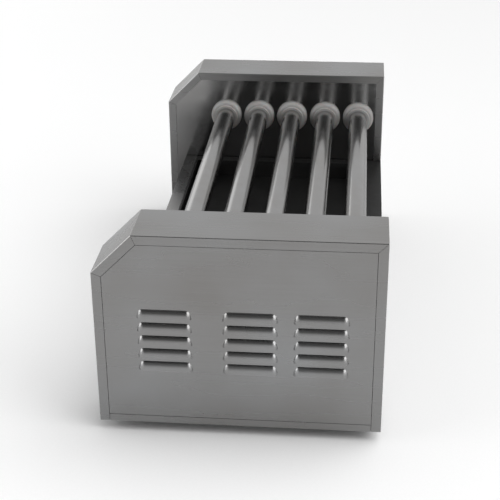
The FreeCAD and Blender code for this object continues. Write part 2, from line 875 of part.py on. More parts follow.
def draw_gap(sketch):
    """One tooth gap on the sketch's +X side: a round seat with flanks that open outwards."""
    seat = SIZES["roller_seat"]
    flank = math.radians(28)
    touch_x = PITCH_RADIUS + seat * -math.sin(flank)
    touch_y = seat * math.cos(flank)
    mouth_x = PITCH_RADIUS + 6
    mouth_y = touch_y + (mouth_x - touch_x) * math.tan(flank)
    low = Vector(touch_x, -touch_y, 0)
    high = Vector(touch_x, touch_y, 0)
    deepest = Vector(PITCH_RADIUS - seat, 0, 0)
    arc = sketch.addGeometry(Part.Arc(high, deepest, low), False)
    far_low = Vector(mouth_x, -mouth_y, 0)
    far_high = Vector(mouth_x, mouth_y, 0)
    sketch.addGeometry(Part.LineSegment(low, far_low), False)
    sketch.addGeometry(Part.LineSegment(far_low, far_high), False)
    sketch.addGeometry(Part.LineSegment(far_high, high), False)
    seat_ratio = d.roller_seat / SIZES["roller_seat"]
    fix_point(sketch, arc, 3, (pitch_radius, 0))
    radius = sketch.addConstraint(Sketcher.Constraint("Radius", arc, seat))
    sketch.setExpression(f"Constraints[{radius}]", d.roller_seat.text)
    for line, corner in ((arc + 1, low), (arc + 2, far_low), (arc + 3, far_high)):
        x = pitch_radius + seat_ratio * (corner.x - PITCH_RADIUS)
        fix_point(sketch, line, 1, (x, seat_ratio * corner.y))
    for one, other in ((arc + 1, arc + 2), (arc + 2, arc + 3)):
        sketch.addConstraint(Sketcher.Constraint("Coincident", one, 2, other, 1))
    x = pitch_radius + seat_ratio * (high.x - PITCH_RADIUS)
    fix_point(sketch, arc + 3, 2, (x, seat_ratio * high.y))


def make_roller_tube(number):
    """Thin-walled steel roller, running in the seals of both walls."""
    name = f"roller_{number + 1}"
    body = new_body(name)
    ring = sketch_on(body, name + "_ring", "YZ_Plane", -tube_end)
    draw_circle(ring, (0, 0), d.roller_radius)
    draw_circle(ring, (0, 0), d.roller_radius - d.roller_wall)
    pad(body, ring, tube_end * 2)
    return place(body, (0, roller_place(number), roller_level))


def make_collar(number):
    """Set collar that keeps the roller from moving endways, behind the left wall."""
    name = f"collar_{number + 1}"
    at = (-wall_back - 9.2, roller_place(number), roller_level)
    ring = rod(name + "_ring", "X", at, 6, 17)
    hole = rod(name + "_hole", "X", (at[0] - 1, at[1], at[2]), 8, d.roller_radius + 0.02)
    return cut(name, ring, [hole])


for number in range(ROLLERS):
    keep(f"roller_{number + 1}_tube", make_roller_tube(number))
    keep(f"roller_{number + 1}_sprocket",
         make_sprocket(f"sprocket_{number + 1}", roller_place(number), roller_level,
                       d.roller_radius + 0.02, d.hub_radius))
    keep(f"roller_{number + 1}_collar", make_collar(number))

stud_reach = end - 12


def make_element(number):
    """Heating rod through the middle of a roller, with a terminal stud at each end."""
    y = roller_place(number)
    name = f"element_{number + 1}"
    rod_end = stud_reach - 11
    sheath = rod(name + "_sheath", "X", (-rod_end, y, roller_level), rod_end * 2, d.element_radius)
    stud = rod(name + "_stud", "X", (-stud_reach, y, roller_level), stud_reach * 2, d.element_radius / 2)
    return join(name, [sheath, stud])


def make_element_bracket():
    """Bridge across the housing that holds the elements' ends clear of the turning rollers."""
    plane = tube_end + 8
    side_low = first_roller - 34
    side_high = roller_place(ROLLERS - 1) + 28
    low = roller_level - 18
    high = roller_level + 16
    bridge = box("bridge_plate", (plane, side_low, low), (plane + 1.5, side_high, high))
    legs = [box("bridge_leg_front", (wall_back, side_low, low), (plane + 1.5, side_low + 1.5, high)),
            box("bridge_leg_rear", (wall_back, side_high - 1.5, low), (plane + 1.5, side_high, high))]
    tabs = [box("bridge_tab_front", (wall_back, side_low - 8, low), (wall_back + 1.5, side_low + 1, high)),
            box("bridge_tab_rear", (wall_back, side_high - 1, low), (wall_back + 1.5, side_high + 3, high))]
    holes = [rod(f"bridge_hole_{i}", "X", (plane - 1, roller_place(i), roller_level), 4,
                 d.element_radius + 0.1) for i in range(ROLLERS)]
    return cut("element_bridge", join("bridge_sheet", [bridge] + legs + tabs), holes)


def make_busbar():
    """Brass strip that links the terminal studs at one end."""
    x = stud_reach - 8
    bar = box("busbar_strip", (x, first_roller - 8, roller_level - 5),
              (x + 1.2, roller_place(ROLLERS - 1) + 8, roller_level + 5))
    holes = [rod(f"busbar_hole_{i}", "X", (x - 1, roller_place(i), roller_level), 4,
                 d.element_radius / 2 + 0.05) for i in range(ROLLERS)]
    return cut("busbar", bar, holes)


keep("heating_elements", group("element_set", [make_element(number) for number in range(ROLLERS)]))
bridge = make_element_bracket()
keep("element_brackets", group("bridge_pair", [bridge, mirrored("bridge_twin", bridge)]))
busbar = make_busbar()
keep("element_busbars", group("busbar_pair", [busbar, mirrored("busbar_twin", busbar)]))

# ---------------------------------------------------------------- chain drive


def link_plate(start, stop, x, thickness, half_height):
    """One flat chain plate with round ends, from pin to pin."""
    along = (stop - start).normalize()
    across = Vector(0, -along.z, along.y) * half_height
    back = along * half_height
    corners = [start + across, stop + across, stop - across, start - across]
    outline = Part.Wire([
        Part.LineSegment(corners[0], corners[1]).toShape(),
        Part.Arc(corners[1], stop + back, corners[2]).toShape(),
        Part.LineSegment(corners[2], corners[3]).toShape(),
        Part.Arc(corners[3], start - back, corners[0]).toShape(),
    ])
    plate = Part.Face(outline).extrude(Vector(thickness, 0, 0))
    plate.translate(Vector(x, 0, 0))
    return plate


def make_chain():
    """Roller chain at rest: a roller at each pin, inner and outer plates by turns."""
    plane = d.chain_plane.value
    half_gap = d.sprocket_width.value / 2 + 0.3
    solids = []
    for index, pin in enumerate(chain_pins):
        following = chain_pins[(index + 1) % CHAIN_LINKS]
        roller_start = Vector(plane - half_gap + 0.05, pin.y, pin.z)
        solids.append(Part.makeCylinder(3.05, 2 * half_gap - 0.1, roller_start, Vector(1, 0, 0)))
        offset = half_gap if index % 2 else half_gap + 1.1
        for x in (plane - offset - 0.9, plane + offset):
            solids.append(link_plate(pin, following, x, 0.9, 3.6))
    chain = doc.addObject("Part::Feature", "chain_loop")
    chain.Shape = Part.makeCompound(solids)
    chain.Placement = FreeCAD.Placement()
    return chain


def make_drive_shaft():
    """Output shaft of the gear motor."""
    start = d.chain_plane - d.sprocket_width
    return rod("output_shaft", "X", (start, middle_roller, drive_level), d.motor_plane + 9 - start,
               d.shaft_radius)


def make_motor():
    """Flat gear motor with a mounting flange and a boss around its shaft."""
    face = d.motor_plane
    can = rod("motor_can", "X", (face, middle_roller, drive_level), d.motor_depth, d.motor_radius)
    boss = rod("motor_boss", "X", (face - 3, middle_roller, drive_level), 3.5, 9)
    lug_end = d.motor_lug + 6
    flange = box("motor_flange", (face, middle_roller - lug_end, drive_level - 8),
                 (face + 2, middle_roller + lug_end, drive_level + 8))
    step = rod("motor_step", "X", (face + d.motor_depth - 1, middle_roller, drive_level), 3, 20)
    bore = rod("motor_bore", "X", (face - 4, middle_roller, drive_level), 14,
               d.shaft_radius + d.running_gap)
    holes = [rod(f"motor_hole_{i}", "X", (face - 1, middle_roller + d.motor_lug * side, drive_level), 4, 2.1)
             for i, side in enumerate(SIDES)]
    return cut("motor", join("motor_body", [can, boss, flange, step]), [bore] + holes)


def make_motor_bracket():
    """Angle bracket that carries the motor on the housing's floor."""
    face = d.motor_plane
    plate = box("bracket_plate", (face - 2, middle_roller - 46, floor_top),
                (face, middle_roller + 46, drive_level + 14))
    foot = box("bracket_foot", (face - 2, middle_roller - 46, floor_top),
               (end - 20, middle_roller + 46, floor_top + 2))
    holes = [rod("bracket_boss_hole", "X", (face - 3, middle_roller, drive_level), 4, 9.2)]
    for i, side in enumerate(SIDES):
        lug = (face - 3, middle_roller + d.motor_lug * side, drive_level)
        holes.append(rod(f"bracket_hole_{i}", "X", lug, 4, 2.1))
    return cut("motor_angle", join("bracket_sheet", [plate, foot]), holes)


def make_screw(name, axis, head_at, head_radius, head_height, shank_radius, reach, forwards=True):
    """Screw whose head starts at a point; the shank runs on along the axis, or back against it."""
    index = "XYZ".index(axis)
    head = rod(name + "_head", axis, head_at, head_height, head_radius)
    shank_at = list(head_at)
    shift = as_size(head_height) - 0.5 if forwards else -as_size(reach) + 0.5
    shank_at[index] = as_size(shank_at[index]) + shift
    shank = rod(name + "_shank", axis, tuple(shank_at), reach, shank_radius)
    return join(name, [head, shank])


keep("drive_chain", make_chain())
keep("drive_shaft", make_drive_shaft())
keep("drive_sprocket", make_sprocket("sprocket_drive", middle_roller, drive_level,
                                     d.shaft_radius + 0.02, 10))
keep("gear_motor", make_motor())
keep("motor_bracket", make_motor_bracket())
keep("motor_screws", group("motor_screw_pair", [
    make_screw(f"motor_screw_{i}", "X",
               (d.motor_plane - 4.8, middle_roller + d.motor_lug * side, drive_level), 3.8, 2.8, 2, 9)
    for i, side in enumerate(SIDES)]))

# ---------------------------------------------------------------- controls and power inlet


def make_thermostat(name, x):
    """Capillary thermostat behind the panel, with a threaded neck through it."""
    back = panel_front + d.sheet
    case = box(name + "_case", (x - 20, back, control_level - 16), (x + 20, back + 28, control_level + 16))
    neck = rod(name + "_neck", "Y", (x, panel_front - 0.8, control_level), 3, d.neck_radius)
    bore = rod(name + "_bore", "Y", (x, panel_front - 1, control_level), 14, d.spindle_radius + d.running_gap)
    return cut(name, join(name + "_body", [case, neck]), [bore])


def make_dial(name, x):
    """Thin dial plate under the knob."""
    disc = rod(name + "_disc", "Y", (x, panel_front - 0.8, control_level), 0.8, 21)
    hole = rod(name + "_hole", "Y", (x, panel_front - 1, control_level), 2, d.neck_radius + 0.1)
    return cut(name, disc, [hole])


def make_knob(name, x):
    """Round control knob with a skirt, a raised grip bar and a blind bore for the spindle."""
    face = panel_front - 1.2
    skirt = rod(name + "_skirt", "Y", (x, face - 4, control_level), 4, d.knob_radius)
    core = rod(name + "_core", "Y", (x, face - d.knob_depth + 2, control_level), d.knob_depth - 2,
               d.knob_radius - 3)
    grip = box(name + "_grip", (x - 3, face - d.knob_depth, control_level - d.knob_radius + 3.5),
               (x + 3, face - 4, control_level + d.knob_radius - 3.5))
    bore = rod(name + "_bore", "Y", (x, face - d.knob_depth + 4, control_level), d.knob_depth,
               d.spindle_radius + 0.02)
    return cut(name, join(name + "_body", [skirt, core, grip]), [bore])


def make_spindle(name, x):
    """Thermostat spindle that the knob is pushed onto."""
    start = panel_front + 3.2 - d.knob_depth
    return rod(name, "Y", (x, start, control_level), panel_front + 12 - start,
               d.spindle_radius)


for side, sign in (("left", -1), ("right", 1)):
    keep(f"{side}_knob", make_knob(f"{side}_knob_cap", d.knob_spacing * sign))
    keep(f"{side}_knob_spindle", make_spindle(f"{side}_spindle", d.knob_spacing * sign))
keep("thermostats", group("thermostat_pair", [
    make_thermostat(f"thermostat_{i}", d.knob_spacing * sign) for i, sign in enumerate(SIDES)]))
keep("dial_plates", group("dial_pair", [
    make_dial(f"dial_{i}", d.knob_spacing * sign) for i, sign in enumerate(SIDES)]))

pivot_y = panel_front - 1


def make_switch_body():
    """Moulded case of the rocker switch, with a bezel that covers the panel's cut-out."""
    case = box("switch_case", (-13.5, panel_front - 0.5, control_level - 10),
               (13.5, panel_front + 22, control_level + 10))
    bezel = box("switch_bezel", (-16, panel_front - 2, control_level - 12.5),
                (16, panel_front, control_level + 12.5))
    well = box("switch_well", (-11, panel_front - 3, control_level - 9),
               (11, panel_front + 8.5, control_level + 9))
    sockets = rod("switch_sockets", "X", (-12.5, pivot_y, control_level), 25, 1.55)
    return cut("switch_mould", join("switch_shell", [case, bezel]), [well, sockets])


def make_rocker():
    """Rocker of the motor switch, lying in its off position."""
    body = new_body("rocker")
    section = sketch_on(body, "rocker_section", "YZ_Plane", -10.7)
    draw_polygon(section, [(-3.2, -7.9), (-1.8, 0), (-3.2, 7.9), (4, 6.4), (6.5, 0), (4, -6.4)])
    pad(body, section, 21.4)
    pins = sketch_on(body, "rocker_pins", "YZ_Plane", -12.2)
    draw_circle(pins, (0, 0), 1.5)
    pad(body, pins, 24.4)
    return place(body, (0, pivot_y, control_level), FreeCAD.Rotation(Vector(1, 0, 0), ROCKER_TILT))


def make_lamp_lens(name, x):
    """Domed lens of an indicator lamp."""
    barrel = rod(name + "_barrel", "Y", (x, panel_front - 2.5, control_level), 8, 3.9)
    dome = ball(name + "_dome", (x, panel_front - 0.6, control_level), 4.35)
    shell = box(name + "_front", (x - 6, panel_front - 6, control_level - 6),
                (x + 6, panel_front - 1.2, control_level + 6))
    return join(name, [barrel, common(name + "_cap", [dome, shell])])


def make_lamp_holder(name, x):
    """Sleeve and bezel of an indicator lamp."""
    bezel = rod(name + "_bezel", "Y", (x, panel_front - 1.2, control_level), 1.2, 7)
    sleeve = rod(name + "_sleeve", "Y", (x, panel_front - 0.5, control_level), 22, d.neck_radius)
    hole = rod(name + "_hole", "Y", (x, panel_front - 3, control_level), 16, 4)
    return cut(name, join(name + "_body", [bezel, sleeve]), [hole])


keep("switch_body", make_switch_body())
keep("switch_rocker", make_rocker())
keep("lamp_lenses", group("lens_pair", [
    make_lamp_lens(f"lens_{i}", d.lamp_spacing * sign) for i, sign in enumerate(SIDES)]))
keep("lamp_holders", group("holder_pair", [
    make_lamp_holder(f"holder_{i}", d.lamp_spacing * sign) for i, sign in enumerate(SIDES)]))


def make_gland():
    """Cable gland through the rear panel, open for the mains lead."""
    body = new_body("gland_sleeve")
    barrel = sketch_on(body, "gland_barrel", "XZ_Plane", -rear_panel)
    draw_circle(barrel, (GLAND_X, gland_level), d.gland_radius)
    pad(body, barrel, 12)
    flange = sketch_on(body, "gland_flange", "XZ_Plane", -rear_panel - 3)
    draw_circle(flange, (GLAND_X, gland_level), d.gland_radius + 3)
    pad(body, flange, 3)
    nose = sketch_on(body, "gland_nose", "XZ_Plane", -rear_panel - 9)
    draw_circle(nose, (GLAND_X, gland_level), d.gland_radius + 0.5)
    pad(body, nose, 6)
    bore = sketch_on(body, "gland_bore", "XZ_Plane")
    draw_circle(bore, (GLAND_X, gland_level), d.cable_radius)
    pocket(body, bore)
    return body


def make_gland_nut():
    """Lock nut of the gland, inside the rear panel."""
    body = new_body("gland_lock")
    hexagon = sketch_on(body, "nut_hex", "XZ_Plane", d.sheet - rear_panel)
    turns = [math.radians(60 * i) for i in range(6)]
    draw_polygon(hexagon, [(GLAND_X + (d.gland_radius + 4) * math.cos(turn),
                            gland_level + (d.gland_radius + 4) * math.sin(turn)) for turn in turns])
    pad(body, hexagon, 5)
    bore = sketch_on(body, "nut_bore", "XZ_Plane")
    draw_circle(bore, (GLAND_X, gland_level), d.gland_radius + d.running_gap)
    pocket(body, bore)
    return body


def terminal_place(number, level):
    return block_middle, 26 + 16 * number, level


def make_terminal_block():
    """Ceramic terminal block on the left housing's floor, with a well for each terminal."""
    block = box("terminal_case", (block_middle - 13, 14, floor_top), (block_middle + 13, 86, floor_top + 20))
    wells = [rod(f"terminal_well_{i}", "Z", terminal_place(i, floor_top + 8), 14, 5)
             for i in range(TERMINALS)]
    return cut("terminal_ceramic", block, wells)


def make_terminals():
    """Brass clamps in the wells of the terminal block."""
    return group("terminal_set", [
        rod(f"terminal_{i}", "Z", terminal_place(i, floor_top + 8.02), 8, 4.6) for i in range(TERMINALS)])


keep("cable_gland", make_gland())
keep("gland_nut", make_gland_nut())
keep("terminal_block", make_terminal_block())
keep("terminal_clamps", make_terminals())

# ---------------------------------------------------------------- feet and screws

foot_places = [(side_x, side_y) for side_x in SIDES for side_y in SIDES]


def foot_centre(side_x, side_y):
    return (end - d.foot_inset_x) * side_x, (rear - d.foot_inset_y) * side_y


def make_foot(name, side_x, side_y):
    """Tapered rubber foot with a recess for its screw."""
    x, y = foot_centre(side_x, side_y)
    cone = doc.addObject("Part::Cone", name + "_cone")
    bind(cone, "Radius1", d.foot_radius - 2)
    bind(cone, "Radius2", d.foot_radius)
    bind(cone, "Height", d.foot_height)
    place(cone, (x, y, 0))
    recess = rod(name + "_recess", "Z", (x, y, -1), 6, 6)
    hole = rod(name + "_hole", "Z", (x, y, 0), d.foot_height + 1, d.screw_hole)
    return cut(name, cone, [recess, hole])


def make_foot_screw(name, side_x, side_y):
    x, y = foot_centre(side_x, side_y)
    return make_screw(name, "Z", (x, y, 2), 4, 2.9, 2, d.foot_height + 1)


keep("rubber_feet", group("foot_set", [
    make_foot(f"foot_{i}", *sides) for i, sides in enumerate(foot_places)]))
keep("foot_screws", group("foot_screw_set", [
    make_foot_screw(f"foot_screw_{i}", *sides) for i, sides in enumerate(foot_places)]))
keep("cover_screws", group("cover_screw_set", [
    make_screw(f"cover_screw_{side}_{i}", "Z", ((end - 10) * side, y, bottom - 2), 3.6, 2, 2, 7)
    for side in SIDES for i, y in enumerate(COVER_SCREWS)]))
keep("rear_panel_screws", group("rear_screw_set", [
    make_screw(f"rear_screw_{i}", "Y", (x, rear_panel, z), 3.4, 2, 1.4, 6, forwards=False)
    for i, (x, z) in enumerate(rear_screws)]))

# ---------------------------------------------------------------- checks and files

doc.recompute()
for thing in doc.Objects:
    if "Invalid" in thing.State or "Error" in thing.State:
        raise ValueError(f"{thing.Name} failed: {thing.State}")
for label, thing in nodes.items():
    if thing.Shape.isNull() or not thing.Shape.isValid() or not thing.Shape.Solids:
        raise ValueError(f"{label} has no valid solid")

os.makedirs("parts", exist_ok=True)
for label, thing in nodes.items():
    thing.Shape.exportStep(f"parts/{label}.step")
print(f"{len(nodes)} sub-parts written")
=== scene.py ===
"""Looks of a countertop roller grill: five steel rollers between two louvred housings.

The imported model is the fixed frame. This script gives each of its nodes a procedural material, adds the
small pieces that only matter to the eye, and sets the floor, the lights and the camera.
All lengths are in metres, in the frame's own axes: +X to the right end, -Y to the front, +Z up.
"""

import math

import bpy
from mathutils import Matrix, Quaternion, Vector


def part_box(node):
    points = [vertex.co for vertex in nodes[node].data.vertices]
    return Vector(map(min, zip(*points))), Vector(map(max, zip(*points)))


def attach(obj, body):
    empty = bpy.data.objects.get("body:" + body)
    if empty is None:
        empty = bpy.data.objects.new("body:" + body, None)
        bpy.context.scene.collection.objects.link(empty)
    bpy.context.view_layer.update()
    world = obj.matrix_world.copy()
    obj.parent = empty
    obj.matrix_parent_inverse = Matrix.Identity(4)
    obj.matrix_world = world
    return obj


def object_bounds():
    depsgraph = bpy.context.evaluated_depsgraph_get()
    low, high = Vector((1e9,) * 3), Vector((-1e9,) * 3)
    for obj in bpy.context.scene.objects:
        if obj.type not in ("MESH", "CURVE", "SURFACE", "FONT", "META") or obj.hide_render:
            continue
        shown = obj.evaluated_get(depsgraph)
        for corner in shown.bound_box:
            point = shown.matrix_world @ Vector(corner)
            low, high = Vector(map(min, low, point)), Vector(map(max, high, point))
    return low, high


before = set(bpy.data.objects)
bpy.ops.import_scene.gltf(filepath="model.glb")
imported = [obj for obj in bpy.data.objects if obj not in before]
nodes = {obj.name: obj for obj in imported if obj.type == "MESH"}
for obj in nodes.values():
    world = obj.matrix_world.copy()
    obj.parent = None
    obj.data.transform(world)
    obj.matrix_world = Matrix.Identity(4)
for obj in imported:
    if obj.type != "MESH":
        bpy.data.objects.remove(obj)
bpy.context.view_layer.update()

MM = 0.001


# ---------------------------------------------------------------------------------------------------------
# Node helpers: a material is written as a few calls that each add one shader node
# ---------------------------------------------------------------------------------------------------------

class Material:
    """A node material under construction. Every method adds a node and returns the socket that it gives."""

    def __init__(self, name):
        self.data = bpy.data.materials.new(name)
        self.data.use_nodes = True
        self.tree = self.data.node_tree
        self.shader = self.tree.nodes["Principled BSDF"]

    def plug(self, socket, value):
        """Sets a socket to a number, a vector or a colour, or links it to another socket."""
        if isinstance(value, bpy.types.NodeSocket):
            self.tree.links.new(value, socket)
        else:
            socket.default_value = value

    def node(self, kind, settings=None, **sockets):
        """A node of one kind. Socket names are given with underscores for spaces."""
        made = self.tree.nodes.new("ShaderNode" + kind)
        for key, value in (settings or {}).items():
            setattr(made, key, value)
        for key, value in sockets.items():
            self.plug(made.inputs[key.replace("_", " ")], value)
        return made

    def surface(self, **sockets):
        """Sets or links sockets of the material's own shader."""
        for key, value in sockets.items():
            self.plug(self.shader.inputs[key.replace("_", " ")], value)

    def place(self, scale=(1, 1, 1)):
        """The point on the piece, in metres of its own body, scaled."""
        point = self.node("TexCoord").outputs["Object"]
        return self.node("Mapping", Vector=point, Scale=scale).outputs[0]

    def noise(self, scale, stretch=(1, 1, 1), detail=4.0, rough=0.5, distortion=0.0):
        """Noise from 0 to 1 with so many waves per metre along each axis."""
        waves = tuple(scale * s for s in stretch)
        made = self.node("TexNoise", Vector=self.place(waves), Scale=1.0, Detail=detail,
                         Roughness=rough, Distortion=distortion)
        return made.outputs["Fac"]

    def maths(self, operation, first, second=0.0, clamp=False):
        """One Math node on two values."""
        made = self.node("Math", {"operation": operation, "use_clamp": clamp})
        self.plug(made.inputs[0], first)
        self.plug(made.inputs[1], second)
        return made.outputs[0]

    def spread(self, value, low, high, start=0.0, end=1.0):
        """Maps value from low..high to start..end, held at both ends."""
        made = self.node("MapRange", {"clamp": True}, Value=value)
        for key, number in (("From Min", low), ("From Max", high), ("To Min", start), ("To Max", end)):
            self.plug(made.inputs[key], number)
        return made.outputs[0]

    def blend(self, factor, first, second):
        """A colour that goes from first to second."""
        made = self.node("Mix", {"data_type": "RGBA"})
        self.plug(made.inputs["Factor"], factor)
        self.plug(made.inputs[6], first)
        self.plug(made.inputs[7], second)
        return made.outputs[2]

    def worn_edges(self, radius):
        """Near 1 along sharp edges, where the bevelled normal leaves the true one, and near 0 on flats."""
        bevelled = self.node("Bevel", {"samples": 4}, Radius=radius).outputs[0]
        true = self.node("NewGeometry").outputs["True Normal"]
        likeness = self.node("VectorMath", {"operation": "DOT_PRODUCT"})
        self.plug(likeness.inputs[0], bevelled)
        self.plug(likeness.inputs[1], true)
        on_flat, on_edge = 0.995, 0.75
        return self.spread(likeness.outputs["Value"], on_flat, on_edge)

    def bump(self, height, distance, strength):
        """Gives the shader's normal a relief of so many metres."""
        made = self.node("Bump", Height=height, Distance=distance, Strength=strength)
        self.surface(Normal=made.outputs[0])


def grey(value, warmth=0.0):
    """A grey of one brightness, warmer above 0 and cooler below."""
    return (value * (1 + warmth), value, value * (1 - warmth), 1.0)


# ---------------------------------------------------------------------------------------------------------
# Materials
# ---------------------------------------------------------------------------------------------------------

def brushed_sheet(name, lengthwise=False):
    """Stainless sheet, brushed along X on front and rear faces and along Y on others, or along X on all.

    Cloudy handling marks vary its tone, and the edges are a little brighter from wear.
    """
    made = Material(name)
    normal = made.node("NewGeometry").outputs["True Normal"]
    facing = made.maths("ABSOLUTE", made.node("SeparateXYZ", Vector=normal).outputs["Y"])
    front = made.maths("GREATER_THAN", facing, 0.8)

    def grain(waves, detail):
        """Noise drawn out along the direction of brushing."""
        along_x = made.noise(waves, (0.015, 1.0, 1.0), detail)
        if lengthwise:
            return along_x
        along_y = made.noise(waves, (1.0, 0.015, 1.0), detail)
        return made.node("Mix", Factor=front, A=along_y, B=along_x).outputs["Result"]

    streaks = grain(520.0, 3.0)
    bands = grain(45.0, 2.0)
    clouds = made.noise(8.0, detail=2.5, rough=0.5)
    smears = made.noise(24.0, (1.0, 0.35, 1.0), detail=3.0, rough=0.5)
    edge = made.worn_edges(1.0 * MM)

    tone, rough, mottling = 0.45, 0.27, 0.11
    dark = grey(tone * (1 - mottling), 0.025)
    light = grey(tone * (1 + mottling), -0.01)
    base = made.blend(made.spread(clouds, 0.3, 0.7), dark, light)
    base = made.blend(made.spread(streaks, 0.35, 0.7, 0.0, 0.22), base, grey(tone * 1.15))
    base = made.blend(made.maths("MULTIPLY", edge, 0.35), base, grey(tone * 1.3))
    roughness = made.maths("ADD", made.spread(smears, 0.3, 0.7, rough - 0.02, rough + 0.03),
                           made.spread(bands, 0.3, 0.7, -0.03, 0.03))
    roughness = made.maths("SUBTRACT", roughness, made.maths("MULTIPLY", edge, 0.04), clamp=True)
    height = made.maths("ADD", made.maths("MULTIPLY", streaks, 0.7), made.maths("MULTIPLY", bands, 0.3))
    made.surface(Base_Color=base, Metallic=1.0, Roughness=roughness)
    made.bump(height, 0.015 * MM, 0.2)
    return made.data


def polished_wall(name, tone):
    """Polished stainless that mirrors the rollers, with soft wipe marks and faint grease haze."""
    made = Material(name)
    wipes = made.noise(30.0, (1.0, 0.25, 1.0), detail=5.0, rough=0.65, distortion=0.6)
    haze = made.noise(7.0, detail=4.0)
    edge = made.worn_edges(1.2 * MM)
    base = made.blend(made.spread(haze, 0.3, 0.7), grey(tone * 0.85, 0.02), grey(tone * 1.1))
    base = made.blend(made.maths("MULTIPLY", edge, 0.5), base, grey(tone * 1.3))
    made.surface(Base_Color=base, Metallic=1.0, Roughness=made.spread(wipes, 0.3, 0.75, 0.08, 0.18))
    made.bump(wipes, 0.05 * MM, 0.25)
    return made.data


def turned_tube(name, tone, rough):
    """A polished roller: rings left by the polishing wheel round the tube, and light scuffs from tongs."""
    made = Material(name)
    rings = made.noise(1400.0, (1.0, 0.01, 0.01), detail=2.0)
    bands = made.noise(55.0, (1.0, 0.1, 0.1), detail=3.0)
    scuffs = made.noise(160.0, (0.5, 1.0, 1.0), detail=7.0, rough=0.75)
    stains = made.noise(14.0, (1.0, 1.6, 1.6), detail=5.0, rough=0.6)
    base = made.blend(made.spread(stains, 0.35, 0.75), grey(tone), grey(tone * 0.86, 0.035))
    base = made.blend(made.spread(bands, 0.3, 0.7, 0.0, 0.3), base, grey(tone * 1.12))
    roughness = made.maths("ADD", made.spread(scuffs, 0.35, 0.8, rough, rough + 0.09),
                           made.spread(bands, 0.3, 0.7, -0.02, 0.02))
    made.surface(Base_Color=base, Metallic=1.0, Roughness=roughness)
    made.bump(made.maths("ADD", rings, made.maths("MULTIPLY", scuffs, 0.6)), 0.01 * MM, 0.35)
    return made.data


def coated_sheet(name, tone, rough):
    """Black heat-proof coating: fine orange-peel texture, a patchy paler haze and lighter rubbed edges."""
    made = Material(name)
    peel = made.noise(1300.0, detail=2.0)
    dust = made.noise(26.0, detail=6.0, rough=0.7)
    edge = made.worn_edges(1.0 * MM)
    base = made.blend(made.spread(dust, 0.4, 0.75), grey(tone), grey(tone * 1.6, 0.03))
    base = made.blend(made.maths("MULTIPLY", edge, 0.3), base, grey(0.05))
    made.surface(Base_Color=base, Roughness=made.spread(dust, 0.3, 0.7, rough, rough + 0.15))
    made.bump(peel, 0.05 * MM, 0.35)
    return made.data


def seal_plastic(name):
    """Moulded fluoroplastic, slightly waxy, coloured an uneven light grey rather than its own white."""
    made = Material(name)
    pores = made.noise(2200.0, detail=2.0)
    unevenness = made.noise(60.0, detail=5.0, rough=0.6)
    # An uneven light grey, lighter and darker at random.
    base = made.blend(made.spread(unevenness, 0.3, 0.75), grey(0.42, 0.01), grey(0.34, 0.04))
    made.surface(Base_Color=base, Roughness=made.spread(unevenness, 0.3, 0.7, 0.34, 0.5))
    made.surface(Subsurface_Weight=0.15, Subsurface_Scale=2 * MM)
    made.bump(pores, 0.03 * MM, 0.25)
    return made.data


def plated_steel(name, tone, warmth, rough):
    """Plated steel, bare steel or brass, with a faint spangle and darker, oily lowlights."""
    made = Material(name)
    spangle = made.node("TexVoronoi", {"feature": "F1"}, Vector=made.place(), Scale=420.0).outputs["Color"]
    cells = made.node("SeparateColor", Color=spangle).outputs[0]
    oil = made.noise(70.0, detail=5.0, rough=0.65)
    edge = made.worn_edges(0.6 * MM)
    base = made.blend(made.spread(cells, 0.0, 1.0, 0.0, 0.35), grey(tone, warmth), grey(tone * 1.3, warmth))
    base = made.blend(made.spread(oil, 0.5, 0.8, 0.0, 0.6), base, grey(tone * 0.5, warmth + 0.03))
    base = made.blend(made.maths("MULTIPLY", edge, 0.5), base, grey(tone * 1.7))
    made.surface(Base_Color=base, Metallic=1.0, Roughness=made.spread(oil, 0.3, 0.7, rough, rough + 0.15))
    made.bump(oil, 0.05 * MM, 0.3)
    return made.data


def moulded(name, colour, rough, texture=1500.0, depth=0.04):
    """Moulded plastic or rubber: spark-eroded texture, slight colour drift and paler rubbed corners."""
    made = Material(name)
    pits = made.noise(texture, detail=2.0)
    drift = made.noise(45.0, detail=4.0)
    edge = made.worn_edges(0.5 * MM)
    darker = tuple(c * 0.8 for c in colour) + (1.0,)
    paler = tuple(min(1.0, c * 1.5 + 0.03) for c in colour) + (1.0,)
    base = made.blend(made.spread(drift, 0.3, 0.7), colour + (1.0,), darker)
    base = made.blend(made.maths("MULTIPLY", edge, 0.45), base, paler)
    made.surface(Base_Color=base, Roughness=made.spread(drift, 0.3, 0.7, rough, rough + 0.1))
    made.bump(pits, depth * MM, 0.3)
    return made.data


def glazed(name):
    """White steatite ceramic with fine specks."""
    made = Material(name)
    specks = made.noise(700.0, detail=3.0, rough=0.7)
    base = made.blend(made.spread(specks, 0.55, 0.75), grey(0.78, 0.02), grey(0.5, 0.06))
    made.surface(Base_Color=base, Roughness=made.spread(specks, 0.3, 0.7, 0.25, 0.4))
    made.bump(specks, 0.03 * MM, 0.2)
    return made.data


def lens(name, colour):
    """A glossy indicator lens with the facets of its diffuser."""
    made = Material(name)
    facets = made.node("TexVoronoi", {"feature": "F1"}, Vector=made.place(), Scale=700.0).outputs["Distance"]
    deep = tuple(c * 0.55 for c in colour) + (1.0,)
    base = made.blend(made.spread(facets, 0.0, 0.6), colour + (1.0,), deep)
    made.surface(Base_Color=base, Roughness=made.spread(facets, 0.0, 0.7, 0.08, 0.16))
    made.surface(Coat_Weight=0.6, Coat_Roughness=0.05)
    made.bump(facets, 0.15 * MM, 0.4)
    return made.data


